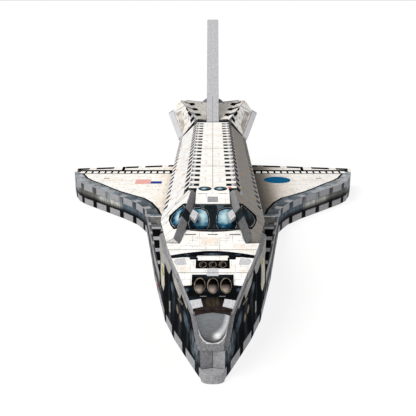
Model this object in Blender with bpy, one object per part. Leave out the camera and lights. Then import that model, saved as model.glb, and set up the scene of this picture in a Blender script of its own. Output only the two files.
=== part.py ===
"""Foam-backed 3-D puzzle model of a space shuttle orbiter, one slab per panel.

Metres, +Z up, nose towards -Y, belly underside on the floor.
The tables are in millimetres and are scaled by MM as each piece is built.
"""
import math

import bmesh
import bpy
from mathutils import Vector

MM = 0.001
SHEET = 6.8            # foam board with its printed card
GAP = 0.3              # clear space between two pieces that meet
ORIGIN_Y = 265.0       # nose tip to the middle of the model's length

# Belly outline from the nose tip to the wing tip, right half: x, y
NOSE_TIP = [(0.0, 0.0), (3.0, 0.2), (5.6, 1.2), (7.0, 3.0)]
NOSE_EDGE = [(7.3, 5.3), (11.7, 15.9), (17.1, 29.7), (25.4, 51.2), (34.1, 79.4), (38.5, 102.7)]
WING_EDGE = [(38.7, 103.3), (47.3, 149.7), (57.5, 215.8), (64.7, 260.9), (69.8, 272.4),
             (76.2, 284.4), (91.8, 303.2), (109.0, 320.4), (127.0, 338.4), (142.0, 353.4),
             (151.4, 366.3), (158.4, 383.8), (163.3, 402.2), (167.0, 422.5)]
WING_TRAIL = [(167.0, 422.5), (52.0, 440.0), (37.5, 442.0)]
NOSE_SEAM = (0.06, 7.2)  # where the two nose walls meet
BODY_HALF = 37.5
AFT_END = 465.0

WING_TOP = 23.6        # outer face of the wing's upper panel
HIP_Z = 67.0           # top of the side walls
ROOF_Z = 87.0
ROOF_HALF = 17.7
ROOF_START = 120.0
ROOF_END = 385.0

# Finger joints
BELLY_PITCH = 24.0
BELLY_TAB = 7.0
BAY_PITCH = 13.7
BAY_SLOT = 6.0
BAY_PROUD = 1.5        # how far the side panels' tabs come up past the roof's ridge
ROOF_NOTCH = 7.5       # depth of the roof's notches, deeper than the tabs need
CORNER_NOTCH = 5.1     # depth that clears a square-cut board meeting at 45 degrees
CABIN_NOTCH = 7.5
RUN_ON = 4.0           # how far a cutter's path goes past the ends of a wall

# Nose deck, upper face along the centre line: y, z
DECK = [(5.5, 24.1), (15.0, 41.0), (43.0, 53.5), (66.0, 60.0), (87.0, 66.3), (102.0, 80.0),
        (120.0, 87.0)]
CAP_LOW = 19.5         # the nose cap's end stands upright down to here
DECK_OVERRUN = 8.0     # how far a deck board is drawn past its joints before they are mitred

# Where the cabin side meets the bay side: y at the roof's ridge and at the hip
FOLD_RIDGE_Y = 116.4
FOLD_HIP_Y = 103.8
BAY_SIDE_START = 103.4
BAY_SIDE_END = 386.0
NOSE_END = 102.9       # the nose walls end here, the side walls start GAP behind
WALL_START = 103.3

# Cabin side, left one: three points of its printed face, then its edge x, y on that face
CABIN = [(17.7, 116.0, 87.0), (37.5, 103.0, 67.0), (31.8, 72.0, 61.8)]
CABIN_EDGE = [(31.7, 73.5), (26.3, 71.6), (21.3, 89.9), (19.1, 95.4), (15.2, 114.2)]

# Square tab standing on the windshield, left one: its end's corners, and down to the windshield
SHIELD_TAB = [(13.8, 94.6, 79.3), (9.7, 92.1, 77.05), (12.3, 87.4, 72.8), (16.2, 90.3, 75.45)]
SHIELD_TAB_DEPTH = (0.0, 2.83, -3.1)

# Side wall from the front round the top: z, y
SIDE_WALL = [(SHEET + GAP, WALL_START), (HIP_Z, WALL_START), (HIP_Z, 388.0), (62.0, 391.0),
             (52.5, AFT_END), (SHEET + GAP, AFT_END)]
CABIN_NOTCH_SPAN = (100.0, 109.0)

# Rear pods, left one: three points of each printed face
POD_END = AFT_END - GAP
POD_TOP_PLANE = [(7.2, 386.0, 88.2), (21.0, 387.0, 89.8), (38.0, 464.7, 99.9)]
POD_SLOPE_PLANE = [(17.0, 386.8, 91.2), (35.8, 392.2, 68.8), (50.6, 464.7, 85.4)]
POD_SIDE_PLANE = [(39.8, 392.0, 67.0), (38.0, 464.7, 54.0), (55.1, 464.7, 83.5)]
POD_RIDGE = [(18.3, 386.3, 89.4), (32.5, 465.9, 99.4)]
POD_TOP_EDGE = [(7.2, 388.0), (27.0, 388.0), (43.0, POD_END), (7.2, POD_END)]
POD_SLOPE_EDGE = [(12.0, 388.0), (35.8, 392.2), (50.6, POD_END), (22.0, POD_END)]
POD_SIDE_EDGE = [(39.8, 392.0, 67.0), (55.1, 464.7, 83.5), (38.0, 464.7, 54.0),
                 (38.0, 392.0, 64.0)]
POD_SLOT_LONG = 8.0    # along the ridge
POD_SLOT_LEAN = 5.5    # how much nearer the nose a notch's inner end is
POD_SLOT_PAST = 4.0    # how far a notch's cutter goes past the board's end
POD_TOP_SLOTS = [407.0, 429.5, 450.5]
POD_TOP_NOTCH = 6.0
POD_SLOPE_SLOTS = [394.0, 414.0, 436.0]
POD_SLOPE_NOTCH = 5.0

# Fin profile: y, z
FIN = [(386.0, 80.0), (386.0, 88.0), (491.0, 194.0), (530.0, 194.0), (488.0, 103.0),
       (464.7, 103.0), (464.7, 80.0)]
FIN_SEAM = 0.1         # half the gap between the two layers

# Aft end, right half from the bottom: x, z; nozzles: x, z, throat, mouth, length, wall
BULKHEAD = [(37.5, 0.0), (37.5, 54.0), (55.1, 83.5), (49.2, 87.0), (32.5, 99.2), (7.0, 96.6)]
FLAP_HALF = 36.0
FLAP_SPAN = (472.5, 499.0)
UPPER_ENGINE = (0.0, 83.0, 10.0, 17.5, 18.0, 2.0)
LOWER_ENGINE = (19.2, 46.6, 10.0, 17.0, 18.0, 2.0)
POD_NOZZLE = (33.0, 84.0, 5.0, 8.0, 12.0, 1.6)
BELL_FLOOR = 3.0       # how thick a bell's closed end is
BELL_SIDES = 32

PARTS = bpy.data.collections
for stale in list(bpy.data.objects):
    bpy.data.objects.remove(stale)

shuttle = PARTS.new("space_shuttle_puzzle")
bpy.context.scene.collection.children.link(shuttle)
cutters = PARTS.new("cutters")
bpy.context.scene.collection.children.link(cutters)

MATERIALS = {
    "white": ("printed_card_white", (0.82, 0.80, 0.76), 0.45),
    "black": ("printed_card_black", (0.03, 0.035, 0.05), 0.4),
    "grey": ("printed_card_grey", (0.33, 0.36, 0.40), 0.35),
}


def material(kind, piece_name):
    """A Principled material of its own for one piece."""
    label, colour, rough = MATERIALS[kind]
    made = bpy.data.materials.new(label + "_" + piece_name)
    made.use_nodes = True
    shader = made.node_tree.nodes["Principled BSDF"]
    shader.inputs["Base Color"].default_value = (*colour, 1.0)
    shader.inputs["Roughness"].default_value = rough
    return made


def solid(points, faces):
    """Mesh data from points in millimetres and their faces."""
    data = bpy.data.meshes.new("solid")
    data.from_pydata([(x * MM, (y - ORIGIN_Y) * MM, z * MM) for x, y, z in points], [], faces)
    work = bmesh.new()
    work.from_mesh(data)
    bmesh.ops.recalc_face_normals(work, faces=work.faces)
    work.to_mesh(data)
    work.free()
    return data


def sheet_mesh(outer, depth):
    """A board whose printed face is the polygon outer, thickened by the vector depth."""
    count = len(outer)
    inner = [(x + depth[0], y + depth[1], z + depth[2]) for x, y, z in outer]
    faces = [tuple(range(count)), tuple(range(2 * count - 1, count - 1, -1))]
    for i in range(count):
        j = (i + 1) % count
        faces.append((i, i + count, j + count, j))
    return solid(list(outer) + inner, faces)


def plan_mesh(outline, low, high):
    """A flat plate: a plan outline of x, y between two heights."""
    return sheet_mesh([(x, y, high) for x, y in outline], (0.0, 0.0, low - high))


def section_mesh(section, start, end):
    """A bar along y: a cross-section of x, z between two stations."""
    return sheet_mesh([(x, start, z) for x, z in section], (0.0, end - start, 0.0))


def join_meshes(meshes):
    """One mesh of several separate closed solids."""
    work = bmesh.new()
    for data in meshes:
        work.from_mesh(data)
    joined = bpy.data.meshes.new("joined")
    work.to_mesh(joined)
    work.free()
    return joined


def cut(piece, meshes):
    """Take the joined meshes away from the piece."""
    tool = bpy.data.objects.new(piece.name + "_cutter", join_meshes(meshes))
    tool.hide_render = True
    tool.display_type = "WIRE"
    cutters.objects.link(tool)
    step = piece.modifiers.new("cut", "BOOLEAN")
    step.operation = "DIFFERENCE"
    step.solver = "EXACT"
    step.object = tool


def piece(name, data, kind):
    """A named node of the model."""
    made = bpy.data.objects.new(name, data)
    data.name = name
    data.materials.clear()
    data.materials.append(material(kind, name))
    shuttle.objects.link(made)
    return made


def mirrored(outline, side):
    """The outline on the right side (side 1) or the left side (side -1)."""
    return [(point[0] * side, *point[1:]) for point in outline]


def inward(path):
    """Unit normals of a plan path, pointing to its left as it is walked."""
    normals = []
    for i in range(len(path)):
        before = path[max(i - 1, 0)]
        after = path[min(i + 1, len(path) - 1)]
        run = Vector((after[0] - before[0], after[1] - before[1])).normalized()
        normals.append(Vector((-run.y, run.x)))
    return normals


def offset(path, amount):
    """The path moved sideways towards the centre line."""
    return [(x + n.x * amount, y + n.y * amount) for (x, y), n in zip(path, inward(path))]


def stretch(path, start, end):
    """The part of a plan path between two distances along it."""
    picked = []
    walked = 0.0
    for (x0, y0), (x1, y1) in zip(path, path[1:]):
        length = math.hypot(x1 - x0, y1 - y0)
        for mark in (start, end):
            if walked <= mark < walked + length:
                t = (mark - walked) / length
                picked.append((mark, (x0 + (x1 - x0) * t, y0 + (y1 - y0) * t)))
        if start < walked + length < end:
            picked.append((walked + length, (x1, y1)))
        walked += length
    return [point for _, point in sorted(picked)]


def path_length(path):
    """How long a plan path is."""
    return sum(math.dist(a, b) for a, b in zip(path, path[1:]))


def lengthened(path):
    """The path run on straight past both of its ends."""
    first = Vector(path[0]) + (Vector(path[0]) - Vector(path[1])).normalized() * RUN_ON
    last = Vector(path[-1]) + (Vector(path[-1]) - Vector(path[-2])).normalized() * RUN_ON
    return [tuple(first)] + path[1:-1] + [tuple(last)]


def ribbon(path, start, end, outside, inside, low, high, side):
    """A block that follows the path between two distances, outside to inside of it."""
    part = stretch(lengthened(path), start + RUN_ON, end + RUN_ON)
    outline = offset(part, -outside) + offset(part, inside)[::-1]
    return plan_mesh(mirrored(outline, side), low, high)


def tab_marks(path, first, last):
    """Start and end of each wall tab along a path."""
    marks = []
    at = first
    while at + BELLY_TAB < last:
        marks.append((at, at + BELLY_TAB))
        at += BELLY_PITCH
    return marks


def block_marks(tabs, length):
    """The stretches between the tabs, from end to end of the path."""
    edges = [-3.0] + [value for pair in tabs for value in pair] + [length + 3.0]
    return [(edges[i], edges[i + 1]) for i in range(0, len(edges), 2)]


def deck_line(depth):
    """The deck profile moved down by depth, square to each slope."""
    runs = []
    for (y0, z0), (y1, z1) in zip(DECK, DECK[1:]):
        run = Vector((y1 - y0, z1 - z0)).normalized()
        down = Vector((run.y, -run.x)) * depth
        runs.append((Vector((y0, z0)) + down, Vector((y1, z1)) + down))
    line = [runs[0][0]]
    for (a0, a1), (b0, b1) in zip(runs, runs[1:]):
        line.append(crossing(a0, a1, b0, b1))
    line.append(runs[-1][1])
    return line


def crossing(a0, a1, b0, b1):
    """Where two lines in a plane cross."""
    u = a1 - a0
    v = b1 - b0
    t = (b0 - a0).cross(v) / u.cross(v)
    return a0 + u * t


def clip(data, point, normal):
    """Keep the part of a solid behind a plane and close it."""
    work = bmesh.new()
    work.from_mesh(data)
    at = Vector((point[0], point[1] - ORIGIN_Y, point[2])) * MM
    found = bmesh.ops.bisect_plane(work, geom=work.verts[:] + work.edges[:] + work.faces[:],
                                   dist=1e-7, plane_co=at, plane_no=Vector(normal),
                                   clear_outer=True)
    rim = [item for item in found["geom_cut"] if isinstance(item, bmesh.types.BMEdge)]
    bmesh.ops.edgenet_fill(work, edges=rim)
    bmesh.ops.recalc_face_normals(work, faces=work.faces)
    work.to_mesh(data)
    work.free()
    return data


print("belly and wings")

NOSE_LENGTH = path_length(NOSE_EDGE)
WING_LENGTH = path_length(WING_EDGE)
NOSE_TABS = tab_marks(NOSE_EDGE, 3.0, NOSE_LENGTH - 3.0)
WING_TABS = tab_marks(WING_EDGE, 20.0, WING_LENGTH - 4.0)
TOP_TABS = [pair for pair in WING_TABS if pair[0] > 60.0]

half = NOSE_TIP + NOSE_EDGE + WING_EDGE + WING_TRAIL[1:] + [(BODY_HALF, AFT_END)]
outline = half + [(-x, y) for x, y in half[::-1] if x > 0.0]
belly = piece("belly_panel", plan_mesh(outline, 0.0, SHEET), "black")
notches = []
for side in (1, -1):
    for path, tabs in ((NOSE_EDGE, NOSE_TABS), (WING_EDGE, WING_TABS)):
        for start, end in tabs:
            notches.append(ribbon(path, start - GAP, end + GAP, 3.0, SHEET + GAP, -1.0,
                                  SHEET + 1.0, side))
cut(belly, notches)

for side, tag in ((1, "left"), (-1, "right")):
    inner_x = BODY_HALF + GAP
    plan = [(inner_x, 110.0)] + stretch(WING_EDGE, 7.0, WING_LENGTH - 0.01)
    plan += [(166.9, 422.5)] + WING_TRAIL[1:2] + [(inner_x, 442.0)]
    wing = piece("wing_top_" + tag, plan_mesh(mirrored(plan, side), WING_TOP - SHEET, WING_TOP),
                 "white")
    cut(wing, [ribbon(WING_EDGE, start - GAP, end + GAP, 3.0, SHEET + GAP,
                      WING_TOP - SHEET - 1.0, WING_TOP + 1.0, side) for start, end in TOP_TABS])

    edge = WING_EDGE + offset(WING_EDGE, SHEET)[::-1]
    data = plan_mesh(mirrored(edge, side), 0.0, WING_TOP)
    data = clip(data, (inner_x * side, 0.0, 0.0), (-side, 0.0, 0.0))
    wall = piece("wing_edge_wall_" + tag, data, "black")
    away = [ribbon(WING_EDGE, start, end, 3.0, SHEET + 3.0,
                   -1.0, SHEET + GAP, side) for start, end in block_marks(WING_TABS, WING_LENGTH)]
    away += [ribbon(WING_EDGE, start, end, 3.0, SHEET + 3.0,
                    WING_TOP - SHEET - GAP, WING_TOP + 1.0, side)
             for start, end in block_marks(TOP_TABS, WING_LENGTH)]
    cut(wall, away)

    trail = [(inner_x, 441.6), (52.0, 439.6), (158.8, 423.4), (158.8, 416.4), (52.0, 432.8),
             (inner_x, 434.8)]
    piece("wing_trailing_wall_" + tag,
          plan_mesh(mirrored(trail, side), SHEET + GAP, WING_TOP - SHEET - GAP), "grey")

print("cargo bay")

BAY_SLOPE = Vector((ROOF_Z - HIP_Z, BODY_HALF - ROOF_HALF)).normalized()
UP = Vector((0.0, 1.0))
OUT = Vector((1.0, 0.0))

bay_slots = []
station = ROOF_START + 6.0
while station + BAY_SLOT < ROOF_END - 2.0:
    bay_slots.append((station, station + BAY_SLOT))
    station += BAY_PITCH
slot_ends = [90.0] + [value for pair in bay_slots for value in pair] + [480.0]
bay_tabs = [(slot_ends[i], slot_ends[i + 1]) for i in range(0, len(slot_ends), 2)]

ridge = Vector((ROOF_HALF, ROOF_Z))
hip = Vector((BODY_HALF, HIP_Z))
down_slope = (hip - ridge).normalized()


def square_bar(corner, along, normal, depth, start, end, side):
    """A cutter square to a board: past its end, and depth back along it."""
    a = corner - along * depth
    b = corner + along * 3.0
    section = [a + normal * 2.0, b + normal * 2.0, b - normal * (SHEET + 2.0),
               a - normal * (SHEET + 2.0)]
    return section_mesh([(p.x * side, p.y) for p in section], start, end)


roof_section = [(-ROOF_HALF, ROOF_Z), (ROOF_HALF, ROOF_Z), (ROOF_HALF, ROOF_Z - SHEET),
                (-ROOF_HALF, ROOF_Z - SHEET)]
roof = piece("bay_roof_panel", section_mesh(roof_section, ROOF_START + GAP, ROOF_END), "white")
cut(roof, [square_bar(ridge, OUT, UP, ROOF_NOTCH, start - GAP, end + GAP, side)
           for side in (1, -1) for start, end in bay_slots])

for side, tag in ((1, "left"), (-1, "right")):
    crest = ridge - down_slope * BAY_PROUD
    section = [crest, hip, hip - BAY_SLOPE * SHEET, crest - BAY_SLOPE * SHEET]
    data = section_mesh([(p.x * side, p.y) for p in section], BAY_SIDE_START, BAY_SIDE_END)
    data = clip(data, (ridge.x * side, FOLD_RIDGE_Y, 0.0),
                (-side * (FOLD_RIDGE_Y - FOLD_HIP_Y), -(hip.x - ridge.x), 0.0))
    slope = piece("bay_side_panel_" + tag, data, "white")
    cut(slope, [square_bar(ridge, -down_slope, BAY_SLOPE, CORNER_NOTCH, start - GAP, end + GAP,
                           side) for start, end in bay_tabs])
    cut(slope, [square_bar(hip, down_slope, BAY_SLOPE, CORNER_NOTCH, start - GAP, end + GAP, side)
                for start, end in bay_slots])

    data = sheet_mesh([(hip.x * side, y, z) for z, y in SIDE_WALL], (-side * SHEET, 0.0, 0.0))
    wall = piece("side_wall_" + tag, data, "white")
    cut(wall, [square_bar(hip, UP, OUT, CORNER_NOTCH, max(start - GAP, CABIN_NOTCH_SPAN[0]),
                          min(end + GAP, SIDE_WALL[3][1]), side) for start, end in bay_tabs])
    cut(wall, [square_bar(hip, UP, OUT, CABIN_NOTCH, *CABIN_NOTCH_SPAN, side)])

print("nose")


def plane_normal(a, b, c):
    """The normal of a plane through three points, on its outer side."""
    normal = (Vector(b) - Vector(a)).cross(Vector(c) - Vector(a)).normalized()
    outside = normal.x if abs(normal.x) > abs(normal.z) else normal.z
    return normal if outside > 0.0 else -normal


def on_plane(plane, x, y):
    """The point above x, y of the plane through three points."""
    at = Vector(plane[0])
    normal = plane_normal(*plane)
    return (x, y, at.z - (normal.x * (x - at.x) + normal.y * (y - at.y)) / normal.z)


def flip(point, side):
    """A point or a direction on the left side (1) or the right side (-1)."""
    return (point[0] * side, point[1], point[2])


cabin_normal = plane_normal(*CABIN)
cabin_outer = [CABIN[1]] + [on_plane(CABIN, x, y) for x, y in CABIN_EDGE] + [CABIN[0]]
for side, tag in ((1, "left"), (-1, "right")):
    depth = -cabin_normal * SHEET
    data = sheet_mesh([flip(p, side) for p in cabin_outer], flip(depth, side))
    data = clip(data, (0.0, 0.0, ROOF_Z), (0.0, 0.0, 1.0))
    data = clip(data, (hip.x * side, 0.0, 0.0), (side, 0.0, 0.0))
    data = clip(data, (ridge.x * side, FOLD_RIDGE_Y - 0.4, 0.0),
                (side * (FOLD_RIDGE_Y - FOLD_HIP_Y), hip.x - ridge.x, 0.0))
    piece("cabin_side_" + tag, data, "white")

    plan = NOSE_EDGE + offset(NOSE_EDGE, SHEET)[::-1] + [NOSE_SEAM]
    data = plan_mesh(mirrored(plan, side), 0.0, 90.0)
    data = clip(data, (0.0, NOSE_END, 0.0), (0.0, 1.0, 0.0))
    wall = piece("nose_wall_" + tag, data, "black")
    line = deck_line(SHEET + GAP)
    low = crossing(line[0], line[1], Vector((0.0, CAP_LOW - GAP)), Vector((1.0, CAP_LOW - GAP)))
    over = [(-20.0, low.y), (low.x, low.y)] + [(y, z) for y, z in line]
    over += [(150.0, line[-1][1]), (150.0, 130.0), (-20.0, 130.0)]
    above = sheet_mesh([(-60.0, y, z) for y, z in over], (120.0, 0.0, 0.0))
    cut(wall, [above])
    lid = [Vector(p) - cabin_normal * (SHEET + GAP) for p in
           (on_plane(CABIN, x, y) for x, y in ((0.0, 60.0), (60.0, 60.0), (60.0, 130.0),
                                               (0.0, 130.0)))]
    cut(wall, [sheet_mesh([flip(p, side) for p in lid], flip(cabin_normal * 50.0, side))])
    blocks = [ribbon(NOSE_EDGE, start, end, 3.0, SHEET + 6.0, -1.0,
                     SHEET + GAP, side) for start, end in block_marks(NOSE_TABS, NOSE_LENGTH)]
    cut(wall, blocks)


def cabin_cutters():
    """Both cabin sides, grown by the gap, to cut the panels between them."""
    made = []
    ring = [on_plane(CABIN, x, y) for x, y in ((45.0, 100.0), (31.6, 72.9), (25.9, 71.0),
                                               (21.0, 89.8), (18.8, 95.3), (14.4, 118.0),
                                               (20.0, 130.0), (45.0, 130.0))]
    for side in (1, -1):
        outer = [Vector(p) + cabin_normal * 6.0 for p in ring]
        made.append(sheet_mesh([flip(p, side) for p in outer],
                               flip(-cabin_normal * (SHEET + GAP + 6.0), side)))
    return made


def deck_panel(name, index, half_front, half_back, kind, middle=()):
    """A board of the nose deck, mitred to its neighbours at both ends."""
    (y0, z0), (y1, z1) = DECK[index], DECK[index + 1]
    run = Vector((y1 - y0, z1 - z0)).normalized()
    a = Vector((y0, z0)) - run * DECK_OVERRUN
    b = Vector((y1, z1)) + run * DECK_OVERRUN
    right = [(half_front, a.x, a.y), (half_front, y0, z0)]
    right += [(half, y, z0 + (z1 - z0) * (y - y0) / (y1 - y0)) for half, y in middle]
    right += [(half_back, y1, z1), (half_back, b.x, b.y)]
    outer = right + [(-x, y, z) for x, y, z in right[::-1]]
    data = sheet_mesh(outer, (0.0, run.y * SHEET, -run.x * SHEET))
    under = deck_line(SHEET)
    for joint, way in ((index, -1.0), (index + 1, 1.0)):
        if joint == 0:
            data = clip(data, (0.0, y0, z0), (0.0, -1.0, 0.0))
            data = clip(data, (0.0, y0, CAP_LOW), (0.0, 0.0, -1.0))
            continue
        top = Vector(DECK[joint])
        mitre = (under[joint] - top).normalized() if joint < len(DECK) - 1 else Vector((0.0, -1.0))
        square = Vector((-mitre.y, mitre.x)) * way
        edge = top - square * GAP * 0.5
        data = clip(data, (0.0, edge.x, edge.y), (0.0, square.x, square.y))
    return piece(name, data, kind)


deck_panel("nose_cap_panel", 0, 6.8, 11.2, "grey")
deck_panel("forward_deck_panel", 1, 11.6, 22.1, "black", [(14.6, 22.7), (17.6, 31.0)])
deck_panel("mid_deck_panel", 2, 22.3, 29.5, "white", [(25.8, 53.0)])
back = deck_panel("rear_deck_panel", 3, 29.6, 19.0, "white", [(31.5, 72.6), (27.0, 73.9)])
shield = deck_panel("windshield_panel", 4, 19.0, 12.4, "black")
brow = deck_panel("brow_panel", 5, 12.4, 12.0, "white")
cut(back, cabin_cutters())
cut(shield, cabin_cutters())
cut(brow, cabin_cutters())
for side, tag in ((1, "left"), (-1, "right")):
    piece("windshield_tab_" + tag, sheet_mesh([flip(p, side) for p in SHIELD_TAB],
                                              SHIELD_TAB_DEPTH), "grey")

print("tail")


def ridge_notch(start, reach, lean, side):
    """A slanted cutter from past the pod's ridge to this reach beside it."""
    (x0, y0, _), (x1, y1, _) = POD_RIDGE
    slant = (x1 - x0) / (y1 - y0)
    near = x0 + (start - y0) * slant
    far = near + POD_SLOT_LONG * slant
    past = -math.copysign(POD_SLOT_PAST, reach)
    end = start + POD_SLOT_LONG
    back = lean * past / reach
    outline = [(near + reach, start + lean), (near + past, start + back),
               (far + past, end + back), (far + reach, end + lean)]
    return plan_mesh(mirrored(outline, side), 55.0, 115.0)


for side, tag in ((1, "left"), (-1, "right")):
    top_up = plane_normal(*POD_TOP_PLANE)
    slope_up = plane_normal(*POD_SLOPE_PLANE)
    side_out = plane_normal(*POD_SIDE_PLANE)
    inside_side = Vector(POD_SIDE_PLANE[0]) - side_out * (SHEET + GAP)
    ridge_at = Vector(POD_RIDGE[0])
    mitre = (slope_up - top_up).normalized()

    outer = [on_plane(POD_TOP_PLANE, x, y) for x, y in POD_TOP_EDGE]
    data = sheet_mesh([flip(p, side) for p in outer], (0.0, 0.0, -SHEET))
    data = clip(data, flip(ridge_at - mitre * GAP * 0.5, side), flip(mitre, side))
    top = piece("pod_top_" + tag, data, "white")
    cut(top, [ridge_notch(start, -POD_TOP_NOTCH, -POD_SLOT_LEAN, side)
              for start in POD_TOP_SLOTS])

    outer = [on_plane(POD_SLOPE_PLANE, x, y) for x, y in POD_SLOPE_EDGE]
    data = sheet_mesh([flip(p, side) for p in outer], flip(-slope_up * SHEET, side))
    data = clip(data, flip(ridge_at + mitre * GAP * 0.5, side), flip(-mitre, side))
    data = clip(data, flip(inside_side, side), flip(side_out, side))
    data = clip(data, (0.0, POD_END, 0.0), (0.0, 1.0, 0.0))
    slope = piece("pod_slope_" + tag, data, "white")
    cut(slope, [ridge_notch(start, POD_SLOPE_NOTCH, 0.0, side)
                for start in POD_SLOPE_SLOTS])

    data = sheet_mesh([flip(p, side) for p in POD_SIDE_EDGE], flip(-side_out * SHEET, side))
    data = clip(data, (0.0, POD_END, 0.0), (0.0, 1.0, 0.0))
    piece("pod_side_" + tag, data, "white")

    layer = sheet_mesh([(FIN_SEAM * side, y, z) for y, z in FIN],
                       (side * (SHEET - FIN_SEAM), 0.0, 0.0))
    piece("fin_layer_" + tag, layer, "grey")

aft = [(x, AFT_END + GAP, z) for x, z in BULKHEAD + [(-x, z) for x, z in BULKHEAD[::-1]]]
piece("aft_bulkhead", sheet_mesh(aft, (0.0, SHEET, 0.0)), "black")
flap = [(-FLAP_HALF, FLAP_SPAN[0]), (FLAP_HALF, FLAP_SPAN[0]), (FLAP_HALF, FLAP_SPAN[1]),
        (-FLAP_HALF, FLAP_SPAN[1])]
piece("body_flap", plan_mesh(flap, 0.0, SHEET), "black")


def bell(name, side, x, z, throat, mouth, length, wall):
    """An open nozzle: a hollow cone standing on the bulkhead."""
    start = AFT_END + GAP + SHEET + GAP
    rings = [(throat, start), (mouth, start + length), (mouth - wall, start + length),
             (throat - wall, start + BELL_FLOOR)]
    count = BELL_SIDES
    points = []
    for radius, y in rings:
        for i in range(count):
            a = 2.0 * math.pi * i / count
            points.append((x * side + radius * math.cos(a), y, z + radius * math.sin(a)))
    faces = [tuple(range(count))[::-1], tuple(range(3 * count, 4 * count))]
    for r in range(3):
        for i in range(count):
            j = (i + 1) % count
            faces.append((r * count + i, r * count + j, (r + 1) * count + j, (r + 1) * count + i))
    return piece(name, solid(points, faces), "grey")


bell("main_engine_upper", 1, *UPPER_ENGINE)
for side, tag in ((1, "left"), (-1, "right")):
    bell("main_engine_lower_" + tag, side, *LOWER_ENGINE)
    bell("pod_nozzle_" + tag, side, *POD_NOZZLE)

print("built")
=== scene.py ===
import math

import bmesh
import bpy
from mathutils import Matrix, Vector


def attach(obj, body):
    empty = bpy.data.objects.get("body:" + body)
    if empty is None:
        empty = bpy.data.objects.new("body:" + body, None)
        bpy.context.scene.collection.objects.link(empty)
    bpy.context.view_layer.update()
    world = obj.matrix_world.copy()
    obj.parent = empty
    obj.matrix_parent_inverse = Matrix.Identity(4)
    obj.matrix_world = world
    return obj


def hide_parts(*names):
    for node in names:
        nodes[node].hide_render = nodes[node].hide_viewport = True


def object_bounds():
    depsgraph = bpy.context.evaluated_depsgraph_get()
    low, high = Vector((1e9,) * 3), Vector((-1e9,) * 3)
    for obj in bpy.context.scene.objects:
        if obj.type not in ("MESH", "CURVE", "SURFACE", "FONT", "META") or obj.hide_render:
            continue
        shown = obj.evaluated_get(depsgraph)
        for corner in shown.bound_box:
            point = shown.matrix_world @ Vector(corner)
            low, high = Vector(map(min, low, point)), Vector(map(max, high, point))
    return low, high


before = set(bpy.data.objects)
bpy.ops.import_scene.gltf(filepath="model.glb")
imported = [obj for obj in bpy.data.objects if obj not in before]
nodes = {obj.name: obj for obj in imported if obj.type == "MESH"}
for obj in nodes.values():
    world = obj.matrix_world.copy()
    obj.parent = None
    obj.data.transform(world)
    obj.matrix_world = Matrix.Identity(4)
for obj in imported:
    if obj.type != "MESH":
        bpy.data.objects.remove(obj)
cadLow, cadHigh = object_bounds()

mm = 0.001
noseTip = cadLow.y / mm  # where the nose plate's tip is, in millimetres
sides = ((1, "left"), (-1, "right"))


# Camera and light

def placeCamera():
    focus = 640.0  # focal length in pixels of the 416 pixel frame
    shot = {"height": 218.0, "before": 330.338, "pitch": math.atan(208.0 / focus), "aside": 4.75}
    data = bpy.data.cameras.new("camera")
    data.sensor_width = 36.0
    data.lens = focus * 36.0 / 416.0
    data.shift_x = -shot["aside"] / 416.0
    data.clip_start = 0.01
    data.clip_end = 2000.0
    camera = bpy.data.objects.new("camera", data)
    camera.location = (0.0, (noseTip - shot["before"]) * mm, shot["height"] * mm)
    camera.rotation_euler = (math.pi / 2.0 - shot["pitch"], 0.0, 0.0)
    bpy.context.scene.collection.objects.link(camera)
    bpy.context.scene.camera = camera


def lightStudio():
    light = {"from": (-0.47, -0.30, 0.83), "spread": 28.0, "strength": 2.5, "sky": 0.46}
    data = bpy.data.lights.new("windowLight", "SUN")
    data.energy = light["strength"]
    data.angle = math.radians(light["spread"])
    data.color = (1.0, 0.985, 0.96)
    lamp = bpy.data.objects.new("windowLight", data)
    lamp.rotation_euler = (-Vector(light["from"])).to_track_quat("-Z", "Y").to_euler()
    lamp.location = Vector(light["from"])
    bpy.context.scene.collection.objects.link(lamp)
    world = bpy.data.worlds.new("studio")
    world.use_nodes = True
    sky = world.node_tree.nodes["Background"]
    sky.inputs["Color"].default_value = (1.0, 1.0, 1.0, 1.0)
    sky.inputs["Strength"].default_value = light["sky"]
    bpy.context.scene.world = world
    bpy.context.scene.view_settings.view_transform = "Standard"


def layFloor():
    floorLook = {"half": 470.0, "tone": 0.16, "glow": 0.84}
    half = floorLook["half"]
    mesh = bpy.data.meshes.new("floor")
    mesh.from_pydata([(-half, -half, 0), (half, -half, 0), (half, half, 0), (-half, half, 0)], [], [(0, 1, 2, 3)])
    floor = bpy.data.objects.new("floor", mesh)
    floor.location.z = -0.0002
    bpy.context.scene.collection.objects.link(floor)
    paint = bpy.data.materials.new("floorPaper")
    paint.use_nodes = True
    shader = paint.node_tree.nodes["Principled BSDF"]
    tone = floorLook["tone"]
    shader.inputs["Base Color"].default_value = (tone, tone, tone, 1.0)
    shader.inputs["Roughness"].default_value = 1.0
    shader.inputs["Specular IOR Level"].default_value = 0.0
    shader.inputs["Emission Color"].default_value = (1.0, 1.0, 1.0, 1.0)
    shader.inputs["Emission Strength"].default_value = floorLook["glow"]
    mesh.materials.append(paint)


# Inks: each is a material that reads the card's own millimetres (UV map "card") or
# a printed shape's own 0 to 1 square (UV map "spot")

def grey(level):
    return (level, level, level)


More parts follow.
